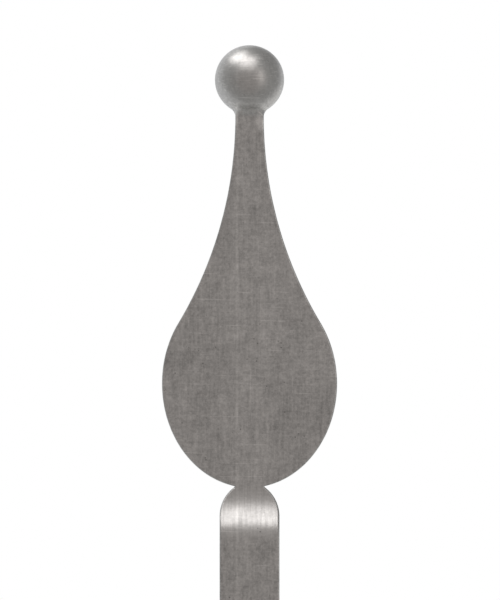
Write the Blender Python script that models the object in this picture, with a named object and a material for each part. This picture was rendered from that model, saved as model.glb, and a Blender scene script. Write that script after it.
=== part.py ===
"""Forged steel fence picket: a square bar drawn out at the top into a flat drop-shaped leaf under a ball.

The whole picket is one forging, so it is one solid. It stands upright on +Z, with the leaf's flat
faces towards -Y and +Y, and the origin is the middle of the bar's cut foot. Sizes are in metres.
"""

import math

import bmesh
import bpy

# Overall length, from the cut foot to the top of the ball
PICKET_LENGTH = 1.0

# Square bar
BAR_SIZE = 0.014
EDGE_RADIUS = 0.0004

# Leaf, a flat drop whose lower part is a half ellipse
LEAF_THICKNESS = 0.0055
LEAF_WIDTH = 0.041
LEAF_HALF_HEIGHT = 0.02435
FLANK_RADIUS = 0.094

# Neck and ball
NECK_WIDTH = 0.0067
NECK_RUN = 0.0001
NECK_FILLET = 0.0021
NECK_SIDE_FILLET = 0.0036
BALL_DIAMETER = 0.0162

# Shoulder, where the bar is rounded over and hollowed down to the leaf
THROAT_WIDTH = 0.00645
THROAT_FILLET = 0.0002
SHOULDER_RADIUS = 0.0083
BULGE_RADIUS = 0.0106
HOLLOW_RADIUS = 0.0145
HOLLOW_RUNOUT = 0.0009

# Steps along each stretch of the outline, and in each rounded corner of a section
CORNER_STEPS = 8
SHOULDER_STEPS = 12
THROAT_STEPS = 6
LEAF_STEPS = 38
FLANK_STEPS = 16
FILLET_STEPS = 6
BALL_STEPS = 22

# Vertices closer than this are one, and edges that turn by more than this stay sharp
MERGE_DISTANCE = 1e-6
SHARP_ANGLE = math.radians(35)

STEEL_COLOUR = (0.42, 0.405, 0.39, 1.0)
STEEL_ROUGHNESS = 0.38


def root_between(function, low, high):
    """The value between low and high where a function changes sign, found by halving."""
    low_sign = function(low) > 0
    for _ in range(60):
        middle = (low + high) / 2
        if (function(middle) > 0) == low_sign:
            low = middle
        else:
            high = middle
    return (low + high) / 2


def smooth_share(value):
    """A share from 0 to 1 that starts and ends level."""
    value = min(max(value, 0.0), 1.0)
    return value * value * (3 - 2 * value)


def steps_between(start, end, count, first=0):
    """count + 1 values from start to end, less the first ones that a neighbour already has."""
    return [start + (end - start) * i / count for i in range(first, count + 1)]


class Ellipse:
    """The lower part of the leaf, round its own middle, with its normals pointing out."""

    across = LEAF_WIDTH / 2
    along = LEAF_HALF_HEIGHT

    def point(self, angle):
        return self.across * math.cos(angle), self.along * math.sin(angle)

    def normal(self, angle):
        x, z = math.cos(angle) / self.across, math.sin(angle) / self.along
        length = math.hypot(x, z)
        return x / length, z / length

    def outside(self, angle, distance):
        """The point that stands this far off the ellipse."""
        (x, z), (nx, nz) = self.point(angle), self.normal(angle)
        return x + distance * nx, z + distance * nz


class Layout:
    """Heights and angles where the stretches of the outline meet, worked out from the sizes above."""

    def __init__(self):
        self.bar = BAR_SIZE / 2
        self.ball = BALL_DIAMETER / 2
        self.neck = NECK_WIDTH / 2
        self.leaf = Ellipse()
        self.place_ball_and_neck()
        self.place_leaf()
        self.place_shoulder()
        self.place_hollow()

    def fillet_drop(self, half, radius):
        """How far below the ball's middle a fillet runs out on a neck of this half width."""
        return math.sqrt((self.ball + radius) ** 2 - (half + radius) ** 2)

    def touch_drop(self, drop, radius):
        """How far below the ball's middle that fillet touches the ball."""
        return drop * self.ball / (self.ball + radius)

    def place_ball_and_neck(self):
        self.ball_z = PICKET_LENGTH - self.ball
        self.front_drop = self.fillet_drop(self.neck, NECK_FILLET)
        self.side_drop = self.fillet_drop(LEAF_THICKNESS / 2, NECK_SIDE_FILLET)
        self.round_drop = min(
            self.touch_drop(self.front_drop, NECK_FILLET),
            self.touch_drop(self.side_drop, NECK_SIDE_FILLET),
        )
        self.flank_z = self.ball_z - self.front_drop - NECK_RUN

    def place_leaf(self):
        """The flank's circle is upright at the neck and touches the ellipse lower down."""
        centre_x = self.neck + FLANK_RADIUS
        self.flank_angle = root_between(
            lambda angle: self.leaf.outside(angle, FLANK_RADIUS)[0] - centre_x, 0.0, math.pi / 2
        )
        self.leaf_z = self.flank_z - self.leaf.outside(self.flank_angle, FLANK_RADIUS)[1]

    def place_shoulder(self):
        """The shoulder's arcs meet the ellipse at the throat, with a small fillet in the corner."""
        self.shoulder_x = self.bar - SHOULDER_RADIUS
        half = THROAT_WIDTH / 2
        corner = -math.acos(half / self.leaf.across)
        self.throat_z = self.leaf_z + self.leaf.point(corner)[1]
        reach = half - self.shoulder_x
        self.shoulder_z = self.throat_z - math.sqrt(SHOULDER_RADIUS**2 - reach**2)

        def gap(angle):
            x, z = self.leaf.outside(angle, THROAT_FILLET)
            away = math.hypot(x - self.shoulder_x, z + self.leaf_z - self.shoulder_z)
            return away - SHOULDER_RADIUS - THROAT_FILLET

        self.throat_angle = root_between(gap, corner, 0.0)
        x, z = self.leaf.outside(self.throat_angle, THROAT_FILLET)
        self.fillet_x, self.fillet_z = x, z + self.leaf_z
        self.shoulder_angle = math.atan2(
            self.fillet_z - self.shoulder_z, self.fillet_x - self.shoulder_x
        )

    def place_hollow(self):
        """Seen from the side, the bar bulges and then hollows down to the leaf in two arcs."""
        depth = self.bar - LEAF_THICKNESS / 2
        self.lean = math.acos(1 - depth / (BULGE_RADIUS + HOLLOW_RADIUS))
        self.hollow_top = self.throat_z + HOLLOW_RUNOUT
        self.bend_z = self.hollow_top - HOLLOW_RADIUS * math.sin(self.lean)
        self.bulge_foot = self.bend_z - BULGE_RADIUS * math.sin(self.lean)

    def half_depth(self, z):
        """Half the thickness, front to back, at a height."""
        leaf = LEAF_THICKNESS / 2
        if z < self.bulge_foot:
            return self.bar
        if z < self.bend_z:
            rise = z - self.bulge_foot
            return self.bar - BULGE_RADIUS + math.sqrt(BULGE_RADIUS**2 - rise**2)
        if z < self.hollow_top:
            rise = self.hollow_top - z
            return leaf + HOLLOW_RADIUS - math.sqrt(HOLLOW_RADIUS**2 - rise**2)
        return self.beside_ball(z, leaf, self.side_drop, NECK_SIDE_FILLET)

    def beside_ball(self, z, half, drop, radius):
        """Half a width near the ball: the neck's own, then its fillet, then the ball."""
        fall = self.ball_z - z
        if fall >= drop:
            return half
        if fall > self.touch_drop(drop, radius):
            return half + radius - math.sqrt(radius**2 - (drop - fall) ** 2)
        return math.sqrt(max(self.ball**2 - fall**2, 0.0))


def straight_bar(lay):
    """Stations up the bar to the shoulder: half width, height and the outline's normal."""
    bulge = [
        lay.bulge_foot + BULGE_RADIUS * math.sin(angle)
        for angle in steps_between(0.0, lay.lean, SHOULDER_STEPS)
    ]
    heights = [0.0] + [z for z in bulge if z < lay.shoulder_z] + [lay.shoulder_z]
    return [(lay.bar, z, 1.0, 0.0) for z in heights]


def shoulder(lay):
    """Stations round the shoulder's arc and through the small fillet of the throat."""
    stations = []
    for angle in steps_between(0.0, lay.shoulder_angle, SHOULDER_STEPS, 1):
        x, z = math.cos(angle), math.sin(angle)
        stations.append(
            (lay.shoulder_x + SHOULDER_RADIUS * x, lay.shoulder_z + SHOULDER_RADIUS * z, x, z)
        )
    nx, nz = lay.leaf.normal(lay.throat_angle)
    for angle in steps_between(lay.shoulder_angle, math.atan2(nz, nx), THROAT_STEPS, 1):
        x, z = math.cos(angle), math.sin(angle)
        stations.append(
            (lay.fillet_x - THROAT_FILLET * x, lay.fillet_z - THROAT_FILLET * z, x, z)
        )
    return stations


def flank_angles(lay):
    """Angles up the flank's arc, closer where the fillet on the neck's faces has begun."""
    nx, nz = lay.leaf.normal(lay.flank_angle)
    begins = (lay.flank_z - lay.ball_z + lay.side_drop) / FLANK_RADIUS
    near = math.asin(max(begins, 0.0))
    angles = steps_between(math.atan2(nz, nx), near, FLANK_STEPS, 1)
    return angles + (steps_between(near, 0.0, FILLET_STEPS, 1) if near else [])


def leaf_and_flank(lay):
    """Stations up the leaf's ellipse and then its hollow flank, to the neck."""
    stations = []
    for angle in steps_between(lay.throat_angle, lay.flank_angle, LEAF_STEPS, 1):
        x, z = lay.leaf.point(angle)
        stations.append((x, lay.leaf_z + z, *lay.leaf.normal(angle)))
    for angle in flank_angles(lay):
        x, z = math.cos(angle), math.sin(angle)
        stations.append(
            (lay.neck + FLANK_RADIUS * (1 - x), lay.flank_z - FLANK_RADIUS * z, x, z)
        )
    return stations


def fillet_and_ball(lay):
    """Stations through the neck's fillet and over the ball, short of its top."""
    drops = steps_between(lay.front_drop, lay.round_drop, FILLET_STEPS)
    heights = [lay.ball_z - drop for drop in drops]
    start = math.asin(lay.round_drop / lay.ball)
    heights += [
        lay.ball_z - lay.ball * math.sin(angle)
        for angle in steps_between(start, -math.pi / 2, BALL_STEPS, 1)[:-1]
    ]
    return [
        (lay.beside_ball(z, lay.neck, lay.front_drop, NECK_FILLET), z, 1.0, 0.0) for z in heights
    ]


def roundness(lay, z):
    """0 where a section is flat-sided with rounded edges, growing to 1 where it is a circle."""
    start = lay.ball_z - lay.front_drop
    end = lay.ball_z - lay.round_drop
    return smooth_share((z - start) / (end - start))


def quarter(lay, station):
    """The rounded corner in one quarter of a section, from the side wall round to the face."""
    half, height, nx, nz = station
    share = roundness(lay, height)
    across = EDGE_RADIUS + (half - EDGE_RADIUS) * share
    points = []
    for angle in steps_between(0.0, math.pi / 2, CORNER_STEPS):
        inward = across * (1 - math.cos(angle))
        z = height - inward * nz
        depth = lay.half_depth(height if share else z)
        deep = EDGE_RADIUS + (depth - EDGE_RADIUS) * share
        points.append((half - inward * nx, depth - deep * (1 - math.sin(angle)), z))
    return points


def ring(mesh, lay, station):
    """The vertices of one whole section, going round from the right side by the back."""
    corner = quarter(lay, station)
    turned = corner[::-1]
    around = [(x, y, z) for x, y, z in corner] + [(-x, y, z) for x, y, z in turned]
    around += [(-x, -y, z) for x, y, z in corner] + [(x, -y, z) for x, y, z in turned]
    return [mesh.verts.new(point) for point in around]


def skin(mesh, rings, top):
    """Faces between neighbouring sections, a flat cut foot, and a fan that closes the ball's top."""
    for low, high in zip(rings, rings[1:]):
        for i in range(len(low)):
            j = (i + 1) % len(low)
            mesh.faces.new((low[i], low[j], high[j], high[i]))
    mesh.faces.new(rings[0][::-1])
    last = rings[-1]
    for i in range(len(last)):
        mesh.faces.new((last[i], last[(i + 1) % len(last)], top))


def steel():
    material = bpy.data.materials.new("forged_steel")
    material.use_nodes = True
    shader = material.node_tree.nodes["Principled BSDF"]
    shader.inputs["Base Color"].default_value = STEEL_COLOUR
    shader.inputs["Metallic"].default_value = 1.0
    shader.inputs["Roughness"].default_value = STEEL_ROUGHNESS
    return material


def picket():
    """The picket as one closed body, lofted from section to section up its length."""
    lay = Layout()
    mesh = bmesh.new()
    stations = straight_bar(lay) + shoulder(lay) + leaf_and_flank(lay) + fillet_and_ball(lay)
    rings = [ring(mesh, lay, station) for station in stations]
    skin(mesh, rings, mesh.verts.new((0.0, 0.0, PICKET_LENGTH)))
    bmesh.ops.remove_doubles(mesh, verts=mesh.verts, dist=MERGE_DISTANCE)
    data = bpy.data.meshes.new("picket")
    mesh.to_mesh(data)
    mesh.free()
    data.shade_smooth()
    data.set_sharp_from_angle(angle=SHARP_ANGLE)
    data.materials.append(steel())
    return bpy.data.objects.new("picket", data)


def main():
    for item in list(bpy.data.objects):
        bpy.data.objects.remove(item)
    collection = bpy.data.collections.new("fence_picket")
    bpy.context.scene.collection.children.link(collection)
    collection.objects.link(picket())


main()
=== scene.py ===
"""Forged steel fence picket: the forging's fine surface, its steel, and a plain studio."""

import math

import bpy
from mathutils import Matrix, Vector


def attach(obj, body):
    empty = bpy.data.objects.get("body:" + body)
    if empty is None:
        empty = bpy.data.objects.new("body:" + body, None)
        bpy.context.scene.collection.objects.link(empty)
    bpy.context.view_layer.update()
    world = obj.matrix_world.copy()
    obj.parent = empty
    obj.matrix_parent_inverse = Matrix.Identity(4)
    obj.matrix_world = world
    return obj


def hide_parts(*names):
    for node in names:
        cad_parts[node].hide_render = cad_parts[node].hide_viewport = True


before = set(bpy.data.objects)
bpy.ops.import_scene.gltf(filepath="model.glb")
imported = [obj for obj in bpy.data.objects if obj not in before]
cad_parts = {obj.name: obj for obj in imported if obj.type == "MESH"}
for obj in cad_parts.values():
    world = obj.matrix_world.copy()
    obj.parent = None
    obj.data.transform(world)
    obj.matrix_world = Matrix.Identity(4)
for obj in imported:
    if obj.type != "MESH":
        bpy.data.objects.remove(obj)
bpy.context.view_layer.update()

# Sizes of the forging, in metres, as the solid has them, and of its surface's faint relief
PICKET_SIZES = {
    "Picket length": 1.0,
    "Bar size": 0.014,
    "Edge radius": 0.0004,
    "Leaf thickness": 0.0055,
    "Leaf width": 0.041,
    "Leaf half height": 0.02435,
    "Flank radius": 0.094,
    "Neck width": 0.0067,
    "Neck run": 0.0001,
    "Neck fillet": 0.0021,
    "Neck side fillet": 0.0036,
    "Ball diameter": 0.0162,
    "Throat width": 0.00645,
    "Throat fillet": 0.0002,
    "Shoulder radius": 0.0083,
    "Bulge radius": 0.0106,
    "Hollow radius": 0.0145,
    "Hollow runout": 0.0009,
    "Forging relief": 0.000012,
    "Relief size": 0.006,
}
RELIEF_SEED = 7
# The relief fades out over this height at the cut foot
FOOT_MARGIN = 0.002
# Share of a rounded edge over which the front face begins
FRONT_RUN = 0.4
# Halvings that find where two curves of the outline meet
HALVINGS = 32
# Vertices closer than this are one, and edges that turn by more than this stay sharp
MERGE_DISTANCE = 1e-6
SHARP_ANGLE = math.radians(35)

# Steps of the fine mesh: along each stretch of the outline, and in a quarter of a section
BAR_STEPS = 300
BULGE_STEPS = 24
SHOULDER_STEPS = 32
THROAT_STEPS = 12
LEAF_STEPS = 110
FLANK_STEPS = 120
FILLET_STEPS = 14
BALL_STEPS = 60
WALL_STEPS = 4
CORNER_STEPS = 8
FACE_STEPS = 12
QUARTER_STEPS = WALL_STEPS + CORNER_STEPS + FACE_STEPS

# Steel, as the shades that its mottling runs between
DARK_STEEL = (0.224, 0.22, 0.2125, 1.0)
BRIGHT_STEEL = (0.696, 0.684, 0.660, 1.0)
STEEL_ROUGHNESS = 0.36
# Where plain steel lies between the two shades
FORGED_SHADE = 0.488
SAWN_SHADE = 0.58
# How deep the bump goes where its height is 1
FORGED_BUMP = 0.000006
SAWN_BUMP = 0.00002

# What the patterns add to the forged steel's shade: first those that fade where the die left it smooth
MOTTLE_SHADE = {"clouds": 0.20, "patches": 0.20, "grit": 0.39, "level": 0.17}
MARK_SHADE = {
    "upright": 0.24,
    "drawn": 0.26,
    "along": 0.18,
    "across": 0.25,
    "lap": 0.22,
    "specks": -1.0,
    "worn": 0.10,
    # corner: painted light, the steel drawn lighter under the ball where shade falls
    "corner": 0.13,
    # bulge: drawn a little lighter, a painted lift of the highlight band on the shoulder
    "bulge": 0.03,
    "streaks": 0.14,
    "middle": 0.075,
    # knock: a painted reflection on the neck's front right
    "right_neck_glint": 0.50,
    # nick: a painted highlight along the neck's left edge
    "left_neck_glint": 0.45,
    # lip: painted shade, a dark line along the right edge of the shoulder's bulge
    "shoulder_edge_shade": -0.40,
}
# What they take off its roughness
GLOSS = {
    "upright": 0.10,
    "clouds": 0.04,
    "patches": 0.02,
    "worn": 0.04,
    "corner": -0.16,
    "ball": -0.03,
    "drawn": 0.12,
}
# What they add to its height: first those that the smooth bulge is free of
ROUGH_HEIGHT = {"level": 0.4, "clouds": 0.4, "specks": -0.8, "along": -0.4, "across": -0.4}
UPRIGHT_HEIGHT = 0.8

# A pattern that is this many millimetres wide doesn't change across the picket
WIDE = 90.0

# Camera, level with the head and square to the leaf's front face
PIXEL = 0.00023418
FRAME_HEIGHT = 600 * PIXEL
SENSOR = 36.0
CAMERA_DISTANCE = 3.0
CAMERA_ACROSS = 0.00011
CAMERA_HEIGHT = 0.94033

# What the steel mirrors: a dim room in front and at its sides, and a bright backdrop
ROOM_SIDES = (0.415, 0.415, 0.415, 1.0)
ROOM_FRONT = (0.437, 0.413, 0.405, 1.0)
BACKDROP = (0.87, 0.885, 0.91, 1.0)
# A dark corner, a table and a bright sweep: direction, cosines where each starts and is full, colour
BACKDROP_PATCHES = (
    ((0.47, 0.47, 0.75), 0.72, 0.96, (0.38, 0.38, 0.38, 1.0)),
    ((-0.08, 0.48, -0.93), 0.78, 0.98, (0.9, 0.9, 0.9, 1.0)),
    ((0.52, 0.68, -0.5), 0.84, 0.99, (1.0, 1.0, 1.0, 1.0)),
)

# Floor, and the distances from the foot between which it fades out
FLOOR_RADIUS = 6.0
FLOOR_FADE = (0.5, 3.4)

# How far the soft boxes hang from the head
SOFT_BOX_DISTANCE = 1.6


class Term:
    """A value in a node tree. Its sums, products and roots add the math nodes for them."""

    def __init__(self, tree, socket):
        self.tree = tree
        self.socket = socket

    def math(self, operation, *others):
        node = self.tree.nodes.new("ShaderNodeMath")
        node.operation = operation
        for socket, value in zip(node.inputs, (self, *others)):
            feed(self.tree, socket, value)
        return Term(self.tree, node.outputs[0])

    def __add__(self, other):
        return self.math("ADD", other)

    def __sub__(self, other):
        return self.math("SUBTRACT", other)

    def __rsub__(self, other):
        return (self * -1.0) + other

    def __mul__(self, other):
        return self.math("MULTIPLY", other)

    def __truediv__(self, other):
        return self.math("DIVIDE", other)

    __radd__ = __add__
    __rmul__ = __mul__

    def sqrt(self):
        return self.math("SQRT")

    def sin(self):
        return self.math("SINE")

    def cos(self):
        return self.math("COSINE")

    def floor(self):
        return self.math("FLOOR")

    def at_least(self, other):
        return self.math("MAXIMUM", other)

    def at_most(self, other):
        return self.math("MINIMUM", other)

    def above(self, other):
        return self.math("GREATER_THAN", other)

    def within(self):
        """Held between 0 and 1."""
        return self.at_least(0.0).at_most(1.0)

    def toward(self, other, share):
        """This value at share 0, the other one at share 1."""
        return self + (other - self) * share


def feed(tree, socket, value):
    """Links a term or a socket to an input, or sets a plain value there."""
    if isinstance(value, Term):
        value = value.socket
    if isinstance(value, bpy.types.NodeSocket):
        tree.links.new(value, socket)
    else:
        socket.default_value = value


def leg(long_side, short_side):
    """The other leg of a right triangle."""
    return (long_side * long_side - short_side * short_side).at_least(0.0).sqrt()


def add_node(tree, kind, inputs=None, **settings):
    """A node with its settings and the values or links of its inputs."""
    node = tree.nodes.new(kind)
    for name, value in settings.items():
        setattr(node, name, value)
    for name, value in (inputs or {}).items():
        feed(tree, node.inputs[name], value)
    return node


def root_between(tree, function, low, high):
    """Where a function that is positive at low turns negative, by halving in a repeat zone."""
    start = tree.nodes.new("GeometryNodeRepeatInput")
    end = tree.nodes.new("GeometryNodeRepeatOutput")
    start.pair_with_output(end)
    end.repeat_items.clear()
    for name in ("Low", "High"):
        end.repeat_items.new("FLOAT", name)
    start.inputs["Iterations"].default_value = HALVINGS
    feed(tree, start.inputs["Low"], low)
    feed(tree, start.inputs["High"], high)
    low_end, high_end = Term(tree, start.outputs["Low"]), Term(tree, start.outputs["High"])
    middle = (low_end + high_end) * 0.5
    positive = function(middle).above(0.0)
    feed(tree, end.inputs["Low"], low_end.toward(middle, positive))
    feed(tree, end.inputs["High"], middle.toward(high_end, positive))
    return (Term(tree, end.outputs["Low"]) + Term(tree, end.outputs["High"])) * 0.5


class Outline:
    """The forging's outline as terms: its heights and angles, and its half widths."""

    def __init__(self, tree, size):
        self.tree = tree
        self.bar = size["Bar size"] * 0.5
        self.ball = size["Ball diameter"] * 0.5
        self.neck = size["Neck width"] * 0.5
        self.across = size["Leaf width"] * 0.5
        self.along = size["Leaf half height"]
        self.plate = size["Leaf thickness"] * 0.5
        self.edge = size["Edge radius"]
        self.flank = size["Flank radius"]
        self.neck_fillet = size["Neck fillet"]
        self.side_fillet = size["Neck side fillet"]
        self.throat_fillet = size["Throat fillet"]
        self.shoulder = size["Shoulder radius"]
        self.bulge = size["Bulge radius"]
        self.hollow = size["Hollow radius"]
        self.place_ball_and_neck(size)
        self.place_leaf()
        self.place_shoulder(size)
        self.place_hollow(size)

    def on_leaf(self, angle):
        return self.across * angle.cos(), self.along * angle.sin()

    def leaf_normal(self, angle):
        x, z = angle.cos() / self.across, angle.sin() / self.along
        length = (x * x + z * z).sqrt()
        return x / length, z / length

    def off_leaf(self, angle, distance):
        """The point that stands this far off the leaf's ellipse."""
        (x, z), (nx, nz) = self.on_leaf(angle), self.leaf_normal(angle)
        return x + distance * nx, z + distance * nz

    def fillet_drop(self, half, radius):
        """How far below the ball's middle a fillet runs out on a neck of this half width."""
        return leg(self.ball + radius, half + radius)

    def place_ball_and_neck(self, size):
        self.ball_z = size["Picket length"] - self.ball
        self.front_drop = self.fillet_drop(self.neck, self.neck_fillet)
        self.side_drop = self.fillet_drop(self.plate, self.side_fillet)
        front_touch = self.front_drop * self.ball / (self.ball + self.neck_fillet)
        side_touch = self.side_drop * self.ball / (self.ball + self.side_fillet)
        self.touch_drop = front_touch.at_most(side_touch)
        self.flank_z = self.ball_z - self.front_drop - size["Neck run"]

    def place_leaf(self):
        """The flank's circle is upright at the neck and touches the ellipse lower down."""
        centre = self.neck + self.flank

        def beyond(angle):
            return self.off_leaf(angle, self.flank)[0] - centre

        self.flank_angle = root_between(self.tree, beyond, 0.0, math.pi / 2)
        self.leaf_z = self.flank_z - self.off_leaf(self.flank_angle, self.flank)[1]

    def place_shoulder(self, size):
        """The shoulder's arcs meet the ellipse at the throat, with a small fillet in the corner."""
        self.shoulder_x = self.bar - self.shoulder
        half = size["Throat width"] * 0.5
        corner = (half / self.across).math("ARCCOSINE") * -1.0
        self.throat_z = self.leaf_z + self.along * corner.sin()
        self.shoulder_z = self.throat_z - leg(self.shoulder, half - self.shoulder_x)

        def overlap(angle):
            x, z = self.off_leaf(angle, self.throat_fillet)
            dx, dz = x - self.shoulder_x, z + self.leaf_z - self.shoulder_z
            return self.shoulder + self.throat_fillet - (dx * dx + dz * dz).sqrt()

        self.throat_angle = root_between(self.tree, overlap, corner, 0.0)
        x, z = self.off_leaf(self.throat_angle, self.throat_fillet)
        self.fillet_x, self.fillet_z = x, z + self.leaf_z
        self.shoulder_angle = (self.fillet_z - self.shoulder_z).math(
            "ARCTAN2", self.fillet_x - self.shoulder_x
        )

    def place_hollow(self, size):
        """Seen from the side, the bar bulges and then hollows down to the leaf in two arcs."""
        depth = self.bar - self.plate
        self.lean = (1.0 - depth / (self.bulge + self.hollow)).math("ARCCOSINE")
        self.hollow_top = self.throat_z + size["Hollow runout"]
        self.bend_z = self.hollow_top - self.hollow * self.lean.sin()
        self.bulge_foot = self.bend_z - self.bulge * self.lean.sin()

    def half_depth(self, z):
        """Half the thickness, front to back, at a height."""
        bulging = self.bar - self.bulge + leg(self.bulge, (z - self.bulge_foot).at_least(0.0))
        hollowing = self.plate + self.hollow - leg(self.hollow, (self.hollow_top - z).at_least(0.0))
        body = bulging.toward(hollowing, z.above(self.bend_z))
        return self.beside_ball(z, body, self.plate, self.side_drop, self.side_fillet)

    def beside_ball(self, z, body, half, drop, radius):
        """Half a width near the ball: the body's own, then the fillet, then the ball."""
        fall = self.ball_z - z
        fillet = half + radius - leg(radius, drop - fall)
        below = body.toward(fillet, drop.above(fall))
        touch = drop * self.ball / (self.ball + radius)
        return below.toward(leg(self.ball, fall), touch.above(fall))

    def roundness(self, z):
        """0 where a section is flat-sided, growing to 1 where it is a circle."""
        start = self.ball_z - self.front_drop
        end = self.ball_z - self.touch_drop
        share = ((z - start) / (end - start)).within()
        return share * share * (3.0 - share * 2.0)

    def stretches(self):
        """(steps, what a share from 0 to 1 along it gives) for each stretch, from the foot up."""
        tree = self.tree
        level = Term(tree, add_node(tree, "ShaderNodeValue").outputs[0])
        level.socket.default_value = 0.0
        upright = level + 1.0

        def foot(share):
            return self.bar, level, upright, level

        def straight(share):
            return self.bar, self.bulge_foot * share, upright, level

        def bulging(share):
            z = self.bulge_foot.toward(self.shoulder_z, share)
            return self.bar, z, upright, level

        def shoulder(share):
            angle = self.shoulder_angle * share
            x, z = angle.cos(), angle.sin()
            return self.shoulder_x + self.shoulder * x, self.shoulder_z + self.shoulder * z, x, z

        leaf_side = self.leaf_normal(self.throat_angle)
        leaf_lean = leaf_side[1].math("ARCTAN2", leaf_side[0])

        def throat(share):
            angle = self.shoulder_angle.toward(leaf_lean, share)
            x, z = angle.cos(), angle.sin()
            radius = self.throat_fillet
            return self.fillet_x - radius * x, self.fillet_z - radius * z, x, z

        def leaf(share):
            angle = self.throat_angle.toward(self.flank_angle, share)
            x, z = self.on_leaf(angle)
            return x, self.leaf_z + z, *self.leaf_normal(angle)

        flank_side = self.leaf_normal(self.flank_angle)
        flank_lean = flank_side[1].math("ARCTAN2", flank_side[0])

        def flank(share):
            angle = flank_lean * (1.0 - share)
            x, z = angle.cos(), angle.sin()
            half = self.neck + self.flank * (1.0 - x)
            return half, self.flank_z - self.flank * z, x, z

        def fillet(share):
            z = self.flank_z.toward(self.ball_z - self.touch_drop, share)
            half = self.beside_ball(z, self.neck, self.neck, self.front_drop, self.neck_fillet)
            return half, z, upright, level

        start = (self.touch_drop / self.ball).math("ARCSINE")

        def over_ball(share):
            angle = start.toward(level - math.pi / 2, share)
            return self.ball * angle.cos(), self.ball_z - self.ball * angle.sin(), upright, level

        return (
            (1, foot),
            (BAR_STEPS, straight),
            (BULGE_STEPS, bulging),
            (SHOULDER_STEPS, shoulder),
            (THROAT_STEPS, throat),
            (LEAF_STEPS, leaf),
            (FLANK_STEPS, flank),
            (FILLET_STEPS, fillet),
            (BALL_STEPS, over_ball),
        )


def along_outline(outline, station):
    """(half width, height, normal across, normal up) at a station, whichever stretch it lies on."""
    totals = None
    start = 0
    passed = station.above(-1.0)
    for steps, shape in outline.stretches():
        share = ((station - float(start)) / float(steps)).within()
        start += steps
        beyond = station.above(start + 0.5)
        here = passed - beyond
        passed = beyond
        values = [here * value for value in shape(share)]
        totals = values if totals is None else [a + b for a, b in zip(totals, values)]
    return totals


def section_point(outline, station, around):
    """Where a vertex goes: (x, y, z, how far it is on a rounded edge, and on the front)."""
    half, height, across_normal, up_normal = along_outline(outline, station)
    share = outline.roundness(height)
    quarter = (around / float(QUARTER_STEPS)).floor().at_most(3.0)
    run = around / float(QUARTER_STEPS) - quarter
    second = quarter.above(0.5) - quarter.above(1.5) + quarter.above(2.5)
    run = run.toward(1.0 - run, second)
    left = quarter.above(0.5) - quarter.above(2.5)
    wall_end = (1.0 - share) * (WALL_STEPS / QUARTER_STEPS)
    corner_end = 1.0 - (1.0 - share) * (FACE_STEPS / QUARTER_STEPS)
    on_wall = (run / wall_end.at_least(1e-6)).within()
    turn = ((run - wall_end) / (corner_end - wall_end)).within()
    on_face = ((run - corner_end) / (1.0 - corner_end).at_least(1e-6)).within()
    across = outline.edge.toward(half, share)
    angle = turn * (math.pi / 2)
    inward = across * (1.0 - angle.cos())
    z = height - inward * up_normal
    depth = outline.half_depth(z.toward(height, share.above(0.0)))
    deep = outline.edge.toward(depth, share)
    wall = 1.0 - (1.0 - on_wall) * (1.0 - on_wall)
    face = 1.0 - on_face * on_face
    x = (half - inward * across_normal) * face
    y = (depth - deep) * wall + deep * angle.sin()
    filled = station.above(0.5)
    rounded = turn * (1.0 - turn) * 4.0 * (1.0 - share)
    facing = (turn / FRONT_RUN).at_most(1.0) * (1.0 - quarter.above(1.5))
    return (
        x * (1.0 - left * 2.0) * filled,
        y * (quarter.above(1.5) * 2.0 - 1.0) * filled,
        z * filled,
        rounded * filled,
        facing * filled,
    )


def forging_tree(steel, sawn):
    """A geometry node tree that lofts the picket from its named sizes and gives it a forged surface."""
    tree = bpy.data.node_groups.new("Forged picket", "GeometryNodeTree")
    tree.is_modifier = True
    for name in PICKET_SIZES:
        socket = tree.interface.new_socket(name, in_out="INPUT", socket_type="NodeSocketFloat")
        socket.subtype = "DISTANCE"
    tree.interface.new_socket("Seed", in_out="INPUT", socket_type="NodeSocketInt")
    tree.interface.new_socket("Geometry", in_out="OUTPUT", socket_type="NodeSocketGeometry")
    entry = tree.nodes.new("NodeGroupInput")
    size = {name: Term(tree, entry.outputs[name]) for name in PICKET_SIZES}

    outline = Outline(tree, size)
    stations = 1 + sum(steps for steps, _ in outline.stretches())
    ring = 4 * QUARTER_STEPS + 1
    index = Term(tree, add_node(tree, "GeometryNodeInputIndex").outputs[0])
    station = (index / float(ring)).floor()
    around = index - station * float(ring)
    x, y, z, rounded, facing = section_point(outline, station, around)

    grid = add_node(tree, "GeometryNodeMeshGrid", {"Vertices X": stations, "Vertices Y": ring})
    place = add_node(tree, "ShaderNodeCombineXYZ", {"X": x, "Y": y, "Z": z})
    edge = add_node(
        tree,
        "GeometryNodeStoreNamedAttribute",
        {"Geometry": grid.outputs["Mesh"], "Name": "edge_wear", "Value": rounded},
        data_type="FLOAT",
        domain="POINT",
    )
    front = add_node(
        tree,
        "GeometryNodeStoreNamedAttribute",
        {"Geometry": edge.outputs[0], "Name": "front_face", "Value": facing},
        data_type="FLOAT",
        domain="POINT",
    )
    loft = add_node(
        tree,
        "GeometryNodeSetPosition",
        {"Geometry": front.outputs[0], "Position": place.outputs[0]},
    )
    merged = add_node(
        tree,
        "GeometryNodeMergeByDistance",
        {"Geometry": loft.outputs[0], "Distance": MERGE_DISTANCE},
    )
    forged = forged_relief(tree, merged.outputs[0], entry, size)
    real = add_node(tree, "GeometryNodeRealizeInstances", {"Geometry": forged})
    skin = add_node(
        tree, "GeometryNodeSetMaterial", {"Geometry": real.outputs[0], "Material": steel}
    )
    height = add_node(
        tree,
        "ShaderNodeSeparateXYZ",
        {0: add_node(tree, "GeometryNodeInputPosition").outputs[0]},
    )
    at_foot = Term(tree, height.outputs["Z"]).math("LESS_THAN", MERGE_DISTANCE)
    foot = add_node(
        tree,
        "GeometryNodeSetMaterial",
        {"Geometry": skin.outputs[0], "Selection": at_foot, "Material": sawn},
    )
    leave = tree.nodes.new("NodeGroupOutput")
    tree.links.new(foot.outputs[0], leave.inputs["Geometry"])
    return tree


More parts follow.
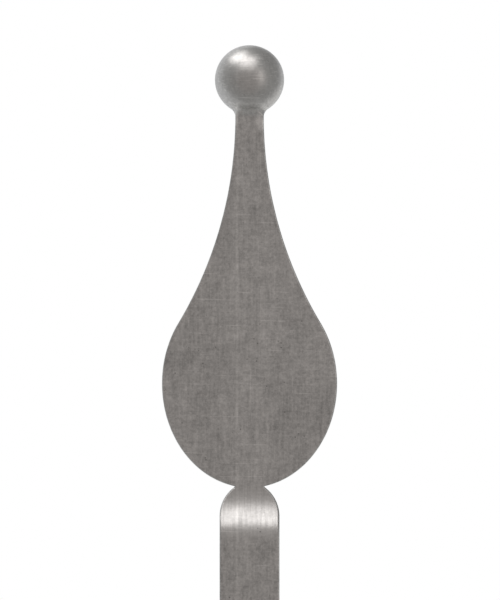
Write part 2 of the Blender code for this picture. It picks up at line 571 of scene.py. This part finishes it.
def forged_relief(tree, mesh, entry, size):
    """Lifts and sinks the surface a little along its normals, except on the cut foot."""
    place = add_node(tree, "GeometryNodeInputPosition").outputs[0]
    scaled = add_node(
        tree,
        "ShaderNodeVectorMath",
        {0: place, "Scale": size["Relief size"].math("POWER", -1.0)},
        operation="SCALE",
    )
    noise = add_node(
        tree,
        "ShaderNodeTexNoise",
        {"Vector": scaled.outputs[0], "Scale": 1.0, "Detail": 2.0, "Roughness": 0.5},
        noise_dimensions="4D",
    )
    feed(tree, noise.inputs["W"], entry.outputs["Seed"])
    height = add_node(tree, "ShaderNodeSeparateXYZ", {0: place})
    off_foot = (Term(tree, height.outputs["Z"]) / FOOT_MARGIN).within()
    lift = (Term(tree, noise.outputs[0]) - 0.5) * size["Forging relief"] * off_foot * 2.0
    outward = add_node(
        tree,
        "ShaderNodeVectorMath",
        {0: add_node(tree, "GeometryNodeInputNormal").outputs[0], "Scale": lift},
        operation="SCALE",
    )
    moved = add_node(
        tree, "GeometryNodeSetPosition", {"Geometry": mesh, "Offset": outward.outputs[0]}
    )
    return moved.outputs[0]


# Shader groups. Places and sizes in them are in millimetres.


def shader_group(name, inputs, outputs):
    """A new shader node group: its tree, its inputs as terms, and the node that its outputs end in."""
    tree = bpy.data.node_groups.new(name, "ShaderNodeTree")
    for label, value in inputs.items():
        kind = "NodeSocketVector" if value is None else "NodeSocketFloat"
        socket = tree.interface.new_socket(label, in_out="INPUT", socket_type=kind)
        if value is not None:
            socket.default_value = value
    for label in outputs:
        tree.interface.new_socket(label, in_out="OUTPUT", socket_type="NodeSocketFloat")
    entry = tree.nodes.new("NodeGroupInput")
    terms = {label: Term(tree, entry.outputs[label]) for label in inputs}
    return tree, terms, tree.nodes.new("NodeGroupOutput")


def use_group(tree, group, **values):
    """Places a group and returns its outputs as terms. Input names are written with underscores."""
    node = add_node(tree, "ShaderNodeGroup", node_tree=group)
    for name, value in values.items():
        feed(tree, node.inputs[name.replace("_", " ")], value)
    return {output.name: Term(tree, output) for output in node.outputs}


def stretched(tree, place, x, y, z):
    """A place divided by a size in each direction, so that a pattern of size 1 gets these sizes."""
    sizes = add_node(tree, "ShaderNodeCombineXYZ", {"X": x, "Y": y, "Z": z})
    node = add_node(tree, "ShaderNodeVectorMath", {0: place, 1: sizes.outputs[0]}, operation="DIVIDE")
    return node.outputs[0]


def noise(tree, vector, seed=0.0, detail=2.0, roughness=0.5):
    """Smooth noise from about -1 to 1 in cells of size 1."""
    node = add_node(
        tree,
        "ShaderNodeTexNoise",
        {"Vector": vector, "W": seed, "Scale": 1.0, "Detail": detail, "Roughness": roughness},
        noise_dimensions="4D",
    )
    return (Term(tree, node.outputs[0]) - 0.5) * 2.0


def rise(tree, value, low, high):
    """0 below low, 1 above high, smooth between."""
    node = add_node(
        tree,
        "ShaderNodeMapRange",
        {"Value": value, "From Min": low, "From Max": high},
        interpolation_type="SMOOTHSTEP",
    )
    return Term(tree, node.outputs[0])


def mottle_group():
    """Soft uneven patches, taller than wide if asked, with patches of half the size in them."""
    inputs = {"Place": None, "Size": 4.0, "Tallness": 1.0, "Seed": 0.0}
    tree, values, leave = shader_group("Mottle", inputs, ("Value",))
    size = values["Size"]
    vector = stretched(tree, values["Place"], size, size, size * values["Tallness"])
    feed(tree, leave.inputs["Value"], noise(tree, vector, values["Seed"], detail=1.0, roughness=0.9))
    return tree


def lines_group():
    """Fine lines, drawn out along the bar or across it by their three sizes."""
    inputs = {"Place": None, "Level size": 0.7, "Depth size": 0.7, "Upright size": 8.0, "Seed": 0.0}
    tree, values, leave = shader_group("Drawn lines", inputs, ("Value",))
    sizes = [values[name] for name in ("Level size", "Depth size", "Upright size")]
    vector = stretched(tree, values["Place"], *sizes)
    feed(tree, leave.inputs["Value"], noise(tree, vector, values["Seed"], detail=1.0, roughness=0.7))
    return tree


def scratches_group():
    """Short thin scratches that lie one way, turned about the leaf's face by an angle."""
    inputs = {"Place": None, "Turn": 0.0, "Length": 5.0, "Width": 0.3, "Rarity": 0.45}
    tree, values, leave = shader_group("Fine scratches", inputs, ("Mask",))
    turned = add_node(
        tree,
        "ShaderNodeVectorRotate",
        {"Vector": values["Place"], "Angle": values["Turn"]},
        rotation_type="Y_AXIS",
    ).outputs[0]
    width = values["Width"]
    sizes = (width, width * 4.0, values["Length"])
    lines = noise(tree, stretched(tree, turned, *sizes), seed=5.0, detail=0.0)
    feed(tree, leave.inputs["Mask"], rise(tree, lines, values["Rarity"], values["Rarity"] + 0.15))
    return tree


def specks_group():
    """Small dark pits, scattered unevenly."""
    inputs = {"Place": None, "Spacing": 1.2, "Radius": 0.14, "Share": 0.4}
    tree, values, leave = shader_group("Specks", inputs, ("Mask",))
    spacing = values["Spacing"]
    cells = add_node(
        tree,
        "ShaderNodeTexVoronoi",
        {"Vector": stretched(tree, values["Place"], spacing, spacing, spacing), "Scale": 1.0},
    )
    away = Term(tree, cells.outputs["Distance"]) * spacing
    red = add_node(tree, "ShaderNodeSeparateColor", {0: cells.outputs["Color"]}).outputs[0]
    chosen = values["Share"].above(Term(tree, red))
    dot = 1.0 - rise(tree, away, values["Radius"] * 0.4, values["Radius"] * 1.3)
    feed(tree, leave.inputs["Mask"], dot * chosen)
    return tree


def lap_line_group():
    """A faint upright line that the rolling left on the face, stronger and weaker along its run."""
    inputs = {
        "Place": None,
        "Across": -2.9,
        "Width": 0.3,
        "Sway": 0.25,
        "Sway length": 12.0,
        "Strong length": 7.0,
    }
    tree, values, leave = shader_group("Lap line", inputs, ("Mask",))
    axes = add_node(tree, "ShaderNodeSeparateXYZ", {0: values["Place"]})
    across = Term(tree, axes.outputs["X"])
    bends = stretched(tree, values["Place"], WIDE, WIDE, values["Sway length"])
    sway = noise(tree, bends, seed=9.0, detail=1.0) * values["Sway"]
    away = (across - values["Across"] + sway).math("ABSOLUTE")
    lengths = stretched(tree, values["Place"], WIDE, WIDE, values["Strong length"])
    run = rise(tree, noise(tree, lengths, seed=10.0, detail=1.0), -0.5, 0.4)
    line = 1.0 - rise(tree, away, values["Width"] * 0.3, values["Width"] * 1.4)
    feed(tree, leave.inputs["Mask"], line * run)
    return tree


def soft_patch_group():
    """A soft oval patch, by its middle and its two half sizes."""
    inputs = {"Place": None, "Across": 0.0, "Height": 920.0, "Half width": 5.0, "Half height": 60.0}
    tree, values, leave = shader_group("Soft patch", inputs, ("Mask",))
    axes = add_node(tree, "ShaderNodeSeparateXYZ", {0: values["Place"]})
    across = (Term(tree, axes.outputs["X"]) - values["Across"]) / values["Half width"]
    height = (Term(tree, axes.outputs["Z"]) - values["Height"]) / values["Half height"]
    away = (across * across + height * height).sqrt()
    feed(tree, leave.inputs["Mask"], 1.0 - rise(tree, away, 0.25, 1.0))
    return tree


def die_smooth_group():
    """1 on the ball or on the shoulder's bulge, which come smooth from the die, and 0 elsewhere."""
    inputs = {"Place": None, "Ball foot": 985.0, "Bulge foot": 883.0, "Bulge top": 898.5, "Run": 3.0}
    tree, values, leave = shader_group("Die smooth", inputs, ("Ball", "Bulge"))
    axes = add_node(tree, "ShaderNodeSeparateXYZ", {0: values["Place"]})
    height, run = Term(tree, axes.outputs["Z"]), values["Run"]
    ball = rise(tree, height, values["Ball foot"], values["Ball foot"] + run)
    bulge = rise(tree, height, values["Bulge foot"], values["Bulge foot"] + run)
    over = rise(tree, height, values["Bulge top"] - run, values["Bulge top"])
    feed(tree, leave.inputs["Ball"], ball)
    feed(tree, leave.inputs["Bulge"], bulge - over)
    return tree


def under_ball_light_group():
    """1 in the corner where the neck's flat faces run up under the ball, and 0 elsewhere: where painted
    light lifts the steel against the shade under the ball.
    """
    inputs = {
        "Place": None,
        "Foot": 983.4,
        "Foot run": 1.2,
        "Top": 988.0,
        "Top run": 2.6,
        "Half width": 5.0,
    }
    tree, values, leave = shader_group("Painted light under ball", inputs, ("Mask",))
    axes = add_node(tree, "ShaderNodeSeparateXYZ", {0: values["Place"]})
    across, height = Term(tree, axes.outputs["X"]), Term(tree, axes.outputs["Z"])
    up = rise(tree, height, values["Foot"], values["Foot"] + values["Foot run"])
    down = rise(tree, height, values["Top"] - values["Top run"], values["Top"])
    aside = rise(tree, across.math("ABSOLUTE"), values["Half width"] * 0.5, values["Half width"])
    feed(tree, leave.inputs["Mask"], up * (1.0 - down) * (1.0 - aside))
    return tree


def worn_edge_group():
    """How far the rounded edges are rubbed bright, from the loft's own attribute."""
    inputs = {"Place": None, "Patch size": 3.0}
    tree, values, leave = shader_group("Worn edge", inputs, ("Mask",))
    edge = add_node(
        tree, "ShaderNodeAttribute", attribute_name="edge_wear", attribute_type="GEOMETRY"
    )
    size = values["Patch size"]
    vector = stretched(tree, values["Place"], size, size, size)
    patches = noise(tree, vector, seed=8.0, detail=3.0, roughness=0.6)
    rubbed = Term(tree, edge.outputs["Fac"]) * rise(tree, patches, -0.5, 0.5)
    feed(tree, leave.inputs["Mask"], rubbed)
    return tree


def place_in_mm(tree):
    """The surface's own place, in millimetres."""
    place = tree.nodes.new("ShaderNodeTexCoord").outputs["Object"]
    node = add_node(tree, "ShaderNodeVectorMath", {0: place, "Scale": 1000.0}, operation="SCALE")
    return node.outputs[0]


def finish_steel(material, tree, shade, gloss, height, bump):
    """Joins the patterns to a metal shader: shade 0 to 1, gloss and height round 0."""
    shader = tree.nodes["Principled BSDF"]
    colour = add_node(tree, "ShaderNodeMix", data_type="RGBA", clamp_factor=True)
    colour.inputs[6].default_value = DARK_STEEL
    colour.inputs[7].default_value = BRIGHT_STEEL
    feed(tree, colour.inputs[0], shade)
    feed(tree, shader.inputs["Base Color"], colour.outputs[2])
    feed(tree, shader.inputs["Roughness"], STEEL_ROUGHNESS - gloss)
    shader.inputs["Metallic"].default_value = 1.0
    relief = add_node(tree, "ShaderNodeBump", {"Height": height, "Strength": 1.0, "Distance": bump})
    feed(tree, shader.inputs["Normal"], relief.outputs[0])


def weighted(terms, weights):
    """The sum of the terms that are named, each times its weight."""
    first, *others = [terms[name] * weight for name, weight in weights.items()]
    return sum(others, first)


def forged_steel(groups):
    """Bare steel off the hammer and the belt: hatched both ways, cloudy and lightly scratched."""
    material = bpy.data.materials.new("forged steel")
    material.use_nodes = True
    tree = material.node_tree
    place = place_in_mm(tree)

    def pattern(name, **values):
        outputs = use_group(tree, groups[name], Place=place, **values)
        return list(outputs.values())[0]

    die = use_group(tree, groups["smooth"], Place=place)
    ball, bulge = die["Ball"], die["Bulge"]
    smooth = ball + bulge
    facing = add_node(
        tree, "ShaderNodeAttribute", attribute_name="front_face", attribute_type="GEOMETRY"
    )
    front = Term(tree, facing.outputs["Fac"])
    hatched = rise(tree, pattern("mottle", Size=6.0, Seed=6.0), -0.4, 0.4)
    pitted = rise(tree, pattern("mottle", Size=3.4, Seed=7.0), 0.15, 0.45)
    upright = pattern("lines", Level_size=0.62, Depth_size=0.62, Upright_size=6.0, Seed=4.0)
    level = pattern("lines", Level_size=5.0, Depth_size=5.0, Upright_size=0.62, Seed=5.0)
    drawn = pattern("lines", Level_size=0.42, Depth_size=5.0, Upright_size=9.0, Seed=21.0)
    streaks = pattern("scratches", Turn=1.57, Length=4.5, Width=0.26, Rarity=0.22)
    specks = pattern("specks", Spacing=0.8, Radius=0.18, Share=0.5)
    # Painted reflection: a lighter patch on the neck's front right, below the ball
    right_neck_glint = pattern("patch", Across=2.5, Height=982.0, Half_width=1.5, Half_height=2.9)
    # Painted highlight: a lighter strip at the neck's left edge, below the ball
    left_neck_glint = pattern("patch", Across=-3.2, Height=982.8, Half_width=0.8, Half_height=2.6)
    # Painted shade: a dark line along the right edge of the shoulder's bulge
    shoulder_edge_shade = pattern("patch", Across=6.73, Height=892.0, Half_width=0.55, Half_height=8.0)
    marks = {
        "ball": ball,
        "bulge": bulge,
        "clouds": pattern("mottle", Size=5.5, Tallness=2.0, Seed=11.0),
        "patches": pattern("mottle", Size=2.6, Seed=2.0),
        "grit": pattern("mottle", Size=0.60, Seed=3.0),
        "upright": upright * (1.2 - hatched * 0.4) * (1.0 - smooth + ball * 0.4),
        "level": level * (0.4 + hatched * 0.8),
        "drawn": drawn * bulge,
        "along": pattern("scratches", Turn=0.03, Length=24.0, Width=0.35, Rarity=0.45),
        "across": pattern("scratches", Turn=1.54, Length=9.0, Width=0.30, Rarity=0.46),
        "streaks": streaks * ball,
        "specks": specks * pitted,
        "lap": pattern("lap", Width=0.3) * (1.0 - ball * 0.6) * front,
        "middle": pattern("patch", Across=0.3, Height=930.0, Half_width=9.0, Half_height=75.0),
        "right_neck_glint": right_neck_glint * front,
        "left_neck_glint": left_neck_glint * front,
        "shoulder_edge_shade": shoulder_edge_shade * front,
        # Painted light: the steel is drawn lighter under the ball, where shade falls; the roughness it
        # adds is the steel's own
        "corner": pattern("corner"),
        "worn": pattern("edge", Patch_size=3.0),
    }
    shade = weighted(marks, MOTTLE_SHADE) * (1.0 - smooth * 0.5) + weighted(marks, MARK_SHADE)
    shade = shade + marks["across"] * smooth * 0.03 + FORGED_SHADE
    rough = weighted(marks, ROUGH_HEIGHT) * (1.0 - bulge)
    height = marks["upright"] * UPRIGHT_HEIGHT + rough
    finish_steel(material, tree, shade, weighted(marks, GLOSS), height, FORGED_BUMP)
    return material


def sawn_steel(groups):
    """The cut foot: fresh steel with the saw's fine level lines."""
    material = bpy.data.materials.new("sawn steel")
    material.use_nodes = True
    tree = material.node_tree
    place = place_in_mm(tree)
    flat = add_node(
        tree,
        "ShaderNodeVectorRotate",
        {"Vector": place, "Angle": math.pi / 2 - 0.12},
        rotation_type="X_AXIS",
    ).outputs[0]
    sawing = {"Level_size": 0.5, "Depth_size": 0.5, "Upright_size": 16.0}
    lines = use_group(tree, groups["lines"], Place=flat, **sawing)["Value"]
    clouds = use_group(tree, groups["mottle"], Place=place, Size=3.0)["Value"]
    specks = use_group(tree, groups["specks"], Place=place, Spacing=1.6, Radius=0.12, Share=0.25)
    shade = SAWN_SHADE + lines * 0.35 + clouds * 0.10 - specks["Mask"] * 0.2
    height = lines * 1.2 - specks["Mask"] * 0.6
    finish_steel(material, tree, shade, lines * 0.08, height, SAWN_BUMP)
    return material


def forged_picket():
    """The picket as one plain mesh, from the tree's evaluated result."""
    groups = {
        "mottle": mottle_group(),
        "lines": lines_group(),
        "scratches": scratches_group(),
        "specks": specks_group(),
        "lap": lap_line_group(),
        "patch": soft_patch_group(),
        "smooth": die_smooth_group(),
        "corner": under_ball_light_group(),
        "edge": worn_edge_group(),
    }
    tree = forging_tree(forged_steel(groups), sawn_steel(groups))
    blank = bpy.data.objects.new("forging blank", bpy.data.meshes.new("forging blank"))
    bpy.context.scene.collection.objects.link(blank)
    loft = blank.modifiers.new("loft", "NODES")
    loft.node_group = tree
    sockets = {
        item.name: item.identifier
        for item in tree.interface.items_tree
        if item.item_type == "SOCKET" and item.in_out == "INPUT"
    }
    for name, value in {**PICKET_SIZES, "Seed": RELIEF_SEED}.items():
        loft[sockets[name]] = value
    depsgraph = bpy.context.evaluated_depsgraph_get()
    mesh = bpy.data.meshes.new_from_object(blank.evaluated_get(depsgraph), depsgraph=depsgraph)
    bpy.data.objects.remove(blank)
    mesh.name = "forged_picket"
    mesh.shade_smooth()
    mesh.set_sharp_from_angle(angle=SHARP_ANGLE)
    picket = bpy.data.objects.new("forged_picket", mesh)
    bpy.context.scene.collection.objects.link(picket)
    return picket


# Studio


def camera():
    """A long lens, level with the leaf and square to its front face."""
    lens = bpy.data.cameras.new("camera")
    lens.sensor_width = SENSOR
    lens.lens = SENSOR * CAMERA_DISTANCE / FRAME_HEIGHT
    lens.clip_start = 0.05
    lens.clip_end = 100.0
    item = bpy.data.objects.new("camera", lens)
    item.location = (CAMERA_ACROSS, -CAMERA_DISTANCE, CAMERA_HEIGHT)
    item.rotation_euler = (math.pi / 2, 0.0, 0.0)
    bpy.context.scene.collection.objects.link(item)
    bpy.context.scene.camera = item


def soft_box(name, direction, width, depth, radiance, colour):
    """A rectangular light that hangs in a direction from the head and faces it."""
    light = bpy.data.lights.new(name, "AREA")
    light.shape = "RECTANGLE"
    light.size, light.size_y = width, depth
    light.energy = radiance * math.pi * width * depth
    light.color = colour
    item = bpy.data.objects.new(name, light)
    toward = Vector(direction).normalized()
    item.location = Vector((0.0, 0.0, CAMERA_HEIGHT)) + toward * SOFT_BOX_DISTANCE
    item.rotation_euler = toward.to_track_quat("Z", "Y").to_euler()
    item.visible_camera = False
    bpy.context.scene.collection.objects.link(item)


def side_of(tree, direction, toward):
    """The cosine between a direction of the sky and a fixed one."""
    node = add_node(
        tree,
        "ShaderNodeVectorMath",
        {0: direction, 1: Vector(toward).normalized()},
        operation="DOT_PRODUCT",
    )
    return Term(tree, node.outputs["Value"])


def mixed(tree, share, first, second):
    """A blend of two colours."""
    node = add_node(tree, "ShaderNodeMix", data_type="RGBA", clamp_factor=True)
    feed(tree, node.inputs[0], share)
    feed(tree, node.inputs[6], first)
    feed(tree, node.inputs[7], second)
    return node.outputs[2]


def studio_air():
    """White where the camera looks, and a dim room in front of a bright backdrop in reflections."""
    bpy.context.scene.view_settings.view_transform = "Standard"
    world = bpy.data.worlds.new("studio")
    world.use_nodes = True
    bpy.context.scene.world = world
    tree = world.node_tree
    background = tree.nodes["Background"]
    direction = tree.nodes.new("ShaderNodeTexCoord").outputs["Generated"]
    front = side_of(tree, direction, (0.0, -1.0, 0.0))
    near = side_of(tree, direction, (0.20, -1.0, 0.30))
    room = mixed(tree, rise(tree, front, 0.55, 0.75), ROOM_SIDES, ROOM_FRONT)
    mirrored = mixed(tree, rise(tree, near, -0.72, -0.02), BACKDROP, room)
    for middle, start, full, colour in BACKDROP_PATCHES:
        share = rise(tree, side_of(tree, direction, middle), start, full)
        mirrored = mixed(tree, share, mirrored, colour)
    path = tree.nodes.new("ShaderNodeLightPath")
    seen = mixed(tree, path.outputs["Is Camera Ray"], mirrored, (1.0, 1.0, 1.0, 1.0))
    feed(tree, background.inputs["Color"], seen)
    lift = Term(tree, path.outputs["Is Diffuse Ray"]) * 0.5 + 1.0
    feed(tree, background.inputs["Strength"], lift)


def studio_floor():
    """A pale disc under the foot that fades out on its way to the rim."""
    mesh = bpy.data.meshes.new("floor")
    sides = 96
    rim = [2 * math.pi * i / sides for i in range(sides)]
    points = [(FLOOR_RADIUS * math.cos(a), FLOOR_RADIUS * math.sin(a), 0.0) for a in rim]
    mesh.from_pydata(points, [], [list(range(sides))])
    material = bpy.data.materials.new("pale floor")
    material.use_nodes = True
    tree = material.node_tree
    shader = tree.nodes["Principled BSDF"]
    shader.inputs["Base Color"].default_value = (0.82, 0.82, 0.81, 1.0)
    shader.inputs["Roughness"].default_value = 0.9
    shader.inputs["Specular IOR Level"].default_value = 0.1
    place = tree.nodes.new("ShaderNodeTexCoord").outputs["Object"]
    away = add_node(tree, "ShaderNodeVectorMath", {0: place}, operation="LENGTH").outputs["Value"]
    feed(tree, shader.inputs["Alpha"], 1.0 - rise(tree, Term(tree, away), *FLOOR_FADE))
    mesh.materials.append(material)
    floor = bpy.data.objects.new("floor", mesh)
    floor.visible_glossy = False
    bpy.context.scene.collection.objects.link(floor)
    return floor


picket = forged_picket()
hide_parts("picket")
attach(picket, "root")

camera()
soft_box(
    "left soft box",
    direction=(-0.45, 0.09, 0.89),
    width=0.95,
    depth=0.95,
    radiance=2.5,
    colour=(1.0, 0.99, 1.0),
)
soft_box(
    "front soft box",
    direction=(-0.08, -0.435, 0.892),
    width=1.25,
    depth=1.18,
    radiance=1.69,
    colour=(1.0, 0.972, 0.978),
)
soft_box(
    "side soft box",
    direction=(0.64, -0.74, 0.16),
    width=0.42,
    depth=1.3,
    radiance=0.85,
    colour=(1.0, 0.95, 0.93),
)
studio_air()
studio_floor()
